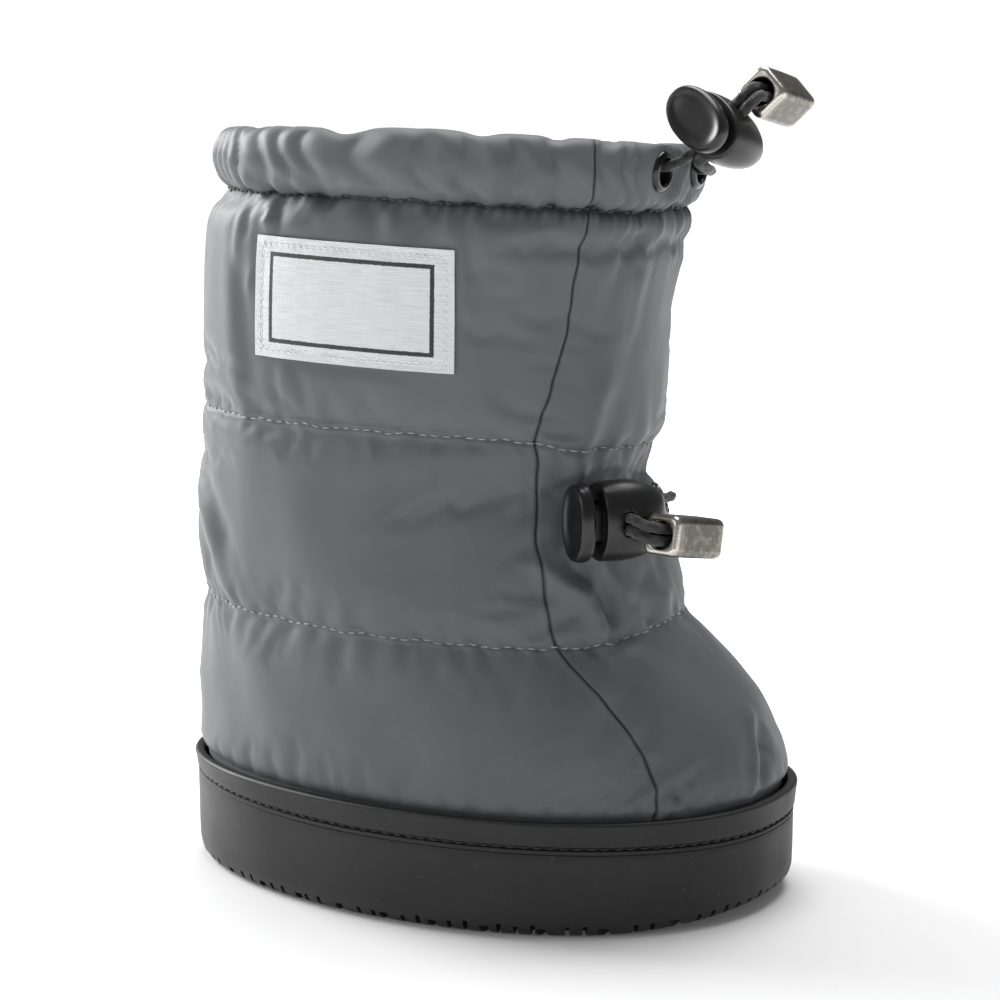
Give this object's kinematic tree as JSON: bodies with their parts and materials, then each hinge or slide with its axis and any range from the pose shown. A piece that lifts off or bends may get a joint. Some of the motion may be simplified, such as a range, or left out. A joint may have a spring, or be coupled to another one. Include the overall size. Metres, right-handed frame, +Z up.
{
  "type": "puffer bootie",
  "caption": "Toddler's puffer bootie for the right foot: quilted padded upper with drawcords at collar and ankle, in a moulded cup sole.",
  "frame": {"origin": "on the ground, under the middle of the sole", "axes": "+X towards the toe, +Y towards the medial side (the wearer's left), +Z up"},
  "size_m": [0.1478, 0.0914, 0.1867],
  "materials": {
    "shell": "satin woven nylon, quilted over padding",
    "sole": "moulded, matt to satin",
    "insole": "brushed foam-backed cloth",
    "label": "woven satin patch, edge stitched",
    "eyelet": "glossy black",
    "lock": "satin moulded",
    "cord": "braided",
    "cord_end": "antique pewter, worn bright on the edges"
  },
  "bodies": {
    "boot": {"outsole": "sole", "upper": "shell", "insole": "insole", "side_label": "label", "collar_eyelet_lateral": "eyelet", "collar_eyelet_medial": "eyelet", "ankle_eyelet_lateral": "eyelet", "ankle_eyelet_medial": "eyelet", "collar_lock_barrel": "lock", "collar_cord_end": "cord_end", "collar_cord_lateral": "cord", "collar_cord_medial": "cord", "ankle_lock_barrel": "lock", "ankle_cord_end": "cord_end", "ankle_cord_lateral": "cord", "ankle_cord_medial": "cord"},
    "collar_plunger": {"collar_lock_plunger": "lock"},
    "ankle_plunger": {"ankle_lock_plunger": "lock"}
  },
  "joints": [
    {"name": "collar_plunger_press", "type": "slide", "parent": "boot", "child": "collar_plunger", "axis": [0.1576, 0.9467, -0.2811], "range_m": [0, 0.0021], "stiffness_N_per_m": 600, "springref_m": -0.003},
    {"name": "ankle_plunger_press", "type": "slide", "parent": "boot", "child": "ankle_plunger", "axis": [0.6, 0.8, 0], "range_m": [0, 0.0021], "stiffness_N_per_m": 600, "springref_m": -0.003}
  ]
}
